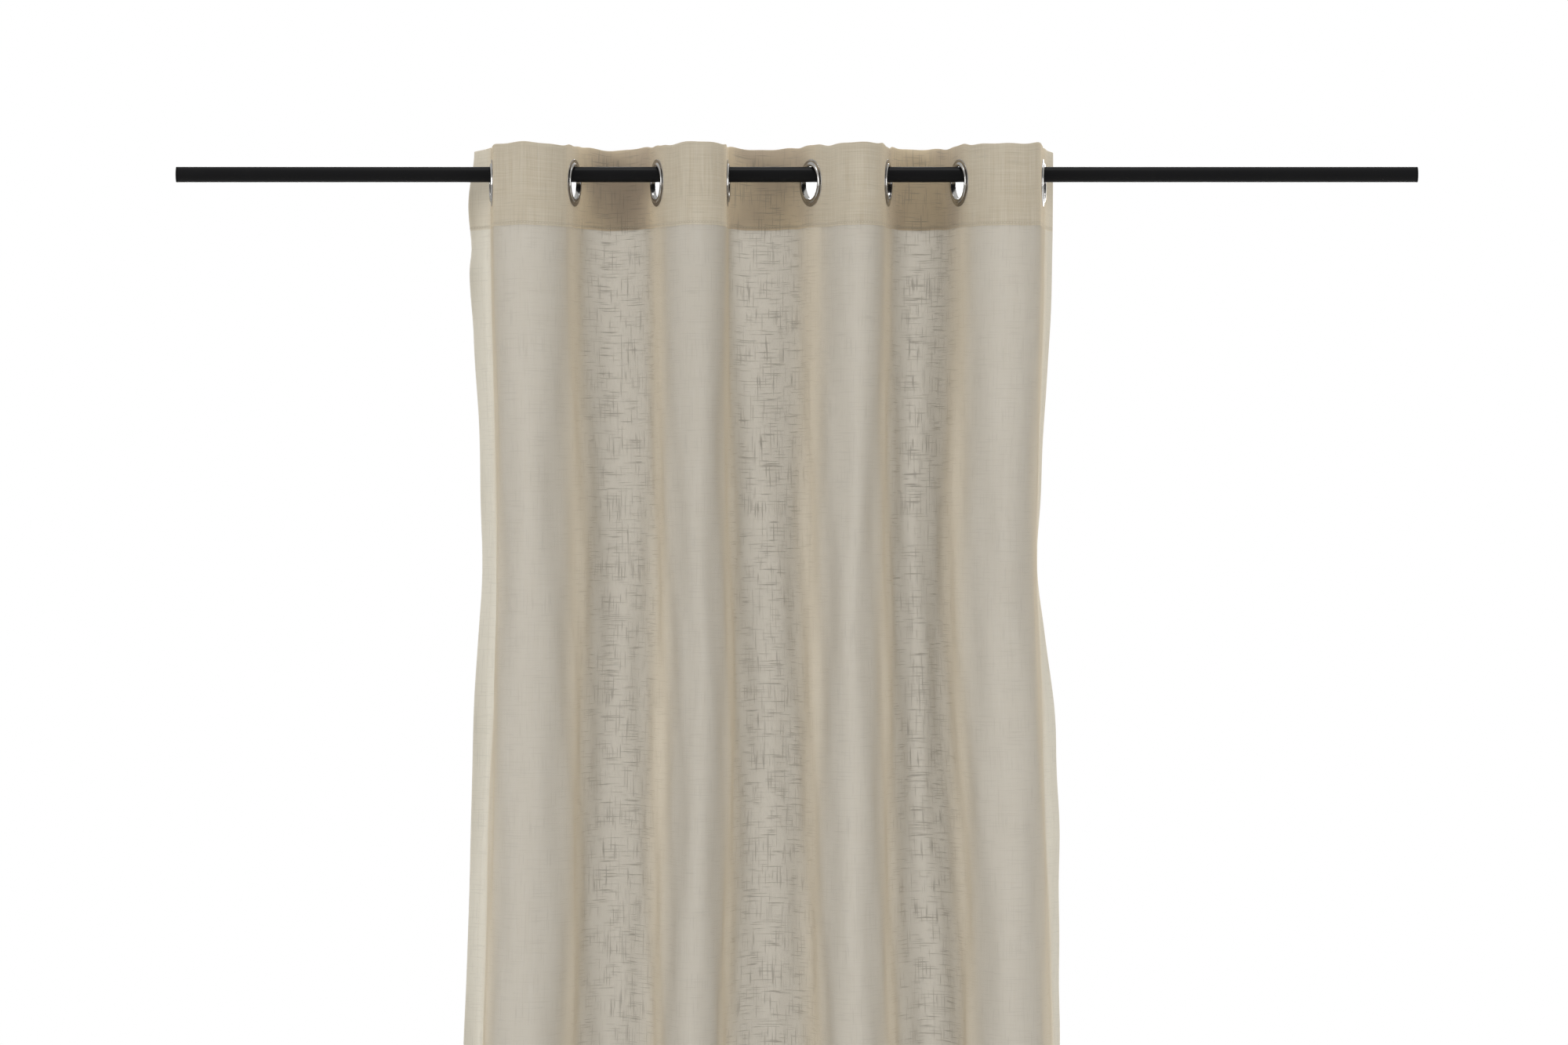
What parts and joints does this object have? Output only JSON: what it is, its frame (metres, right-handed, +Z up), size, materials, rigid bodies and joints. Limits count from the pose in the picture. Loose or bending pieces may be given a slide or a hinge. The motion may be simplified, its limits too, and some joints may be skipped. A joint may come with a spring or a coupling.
{
  "type": "eyelet curtain on a rod",
  "caption": "Semi-sheer eyelet curtain panel hanging in soft waves from a slim round black rod, with metal eyelets that slide along the rod to gather or spread the cloth.",
  "frame": {"origin": "on the rod's axis, at the middle of its length, where the rod is held", "axes": "+X along the rod, to the right seen from the room; -Y faces the room; +Z up, the cloth hangs towards -Z"},
  "size_m": [1.52, 0.1407, 2.4],
  "materials": {
    "rod_finish": "satin black powder coat",
    "end_cap": "matte black",
    "eyelet_metal": "polished nickel, rolled lip",
    "curtain_fabric": "semi-sheer slubbed linen weave, natural beige",
    "heading_tape": "stiffened tape inside the turned heading"
  },
  "bodies": {
    "rod": {"rod_tube": "rod_finish", "rod_end_cap_left": "end_cap", "rod_end_cap_right": "end_cap"},
    "eyelet_1": {"eyelet_front_1": "eyelet_metal", "eyelet_back_1": "eyelet_metal", "cloth_strip_1": "curtain_fabric", "heading_tape_strip_1": "heading_tape", "cloth_fold_1": "curtain_fabric", "heading_tape_fold_1": "heading_tape", "cloth_edge_left": "curtain_fabric", "heading_tape_edge_left": "heading_tape"},
    "eyelet_2": {"eyelet_front_2": "eyelet_metal", "eyelet_back_2": "eyelet_metal", "cloth_strip_2": "curtain_fabric", "heading_tape_strip_2": "heading_tape", "cloth_fold_2": "curtain_fabric", "heading_tape_fold_2": "heading_tape"},
    "eyelet_3": {"eyelet_front_3": "eyelet_metal", "eyelet_back_3": "eyelet_metal", "cloth_strip_3": "curtain_fabric", "heading_tape_strip_3": "heading_tape", "cloth_fold_3": "curtain_fabric", "heading_tape_fold_3": "heading_tape"},
    "eyelet_4": {"eyelet_front_4": "eyelet_metal", "eyelet_back_4": "eyelet_metal", "cloth_strip_4": "curtain_fabric", "heading_tape_strip_4": "heading_tape", "cloth_fold_4": "curtain_fabric", "heading_tape_fold_4": "heading_tape"},
    "eyelet_5": {"eyelet_front_5": "eyelet_metal", "eyelet_back_5": "eyelet_metal", "cloth_strip_5": "curtain_fabric", "heading_tape_strip_5": "heading_tape", "cloth_fold_5": "curtain_fabric", "heading_tape_fold_5": "heading_tape"},
    "eyelet_6": {"eyelet_front_6": "eyelet_metal", "eyelet_back_6": "eyelet_metal", "cloth_strip_6": "curtain_fabric", "heading_tape_strip_6": "heading_tape", "cloth_fold_6": "curtain_fabric", "heading_tape_fold_6": "heading_tape"},
    "eyelet_7": {"eyelet_front_7": "eyelet_metal", "eyelet_back_7": "eyelet_metal", "cloth_strip_7": "curtain_fabric", "heading_tape_strip_7": "heading_tape", "cloth_fold_7": "curtain_fabric", "heading_tape_fold_7": "heading_tape"},
    "eyelet_8": {"eyelet_front_8": "eyelet_metal", "eyelet_back_8": "eyelet_metal", "cloth_strip_8": "curtain_fabric", "heading_tape_strip_8": "heading_tape", "cloth_edge_right": "curtain_fabric", "heading_tape_edge_right": "heading_tape"}
  },
  "joints": [
    {"name": "curtain_slide", "type": "slide", "parent": "rod", "child": "eyelet_1", "axis": [1, 0, 0], "range_m": [-0.33, 0.18]},
    {"name": "gap_1_2", "type": "slide", "parent": "eyelet_1", "child": "eyelet_2", "axis": [1, 0, 0], "range_m": [-0.04, 0.035]},
    {"name": "gap_2_3", "type": "slide", "parent": "eyelet_2", "child": "eyelet_3", "axis": [1, 0, 0], "range_m": [-0.04, 0.035]},
    {"name": "gap_3_4", "type": "slide", "parent": "eyelet_3", "child": "eyelet_4", "axis": [1, 0, 0], "range_m": [-0.04, 0.035]},
    {"name": "gap_4_5", "type": "slide", "parent": "eyelet_4", "child": "eyelet_5", "axis": [1, 0, 0], "range_m": [-0.04, 0.035]},
    {"name": "gap_5_6", "type": "slide", "parent": "eyelet_5", "child": "eyelet_6", "axis": [1, 0, 0], "range_m": [-0.04, 0.035]},
    {"name": "gap_6_7", "type": "slide", "parent": "eyelet_6", "child": "eyelet_7", "axis": [1, 0, 0], "range_m": [-0.04, 0.035]},
    {"name": "gap_7_8", "type": "slide", "parent": "eyelet_7", "child": "eyelet_8", "axis": [1, 0, 0], "range_m": [-0.04, 0.035]}
  ]
}
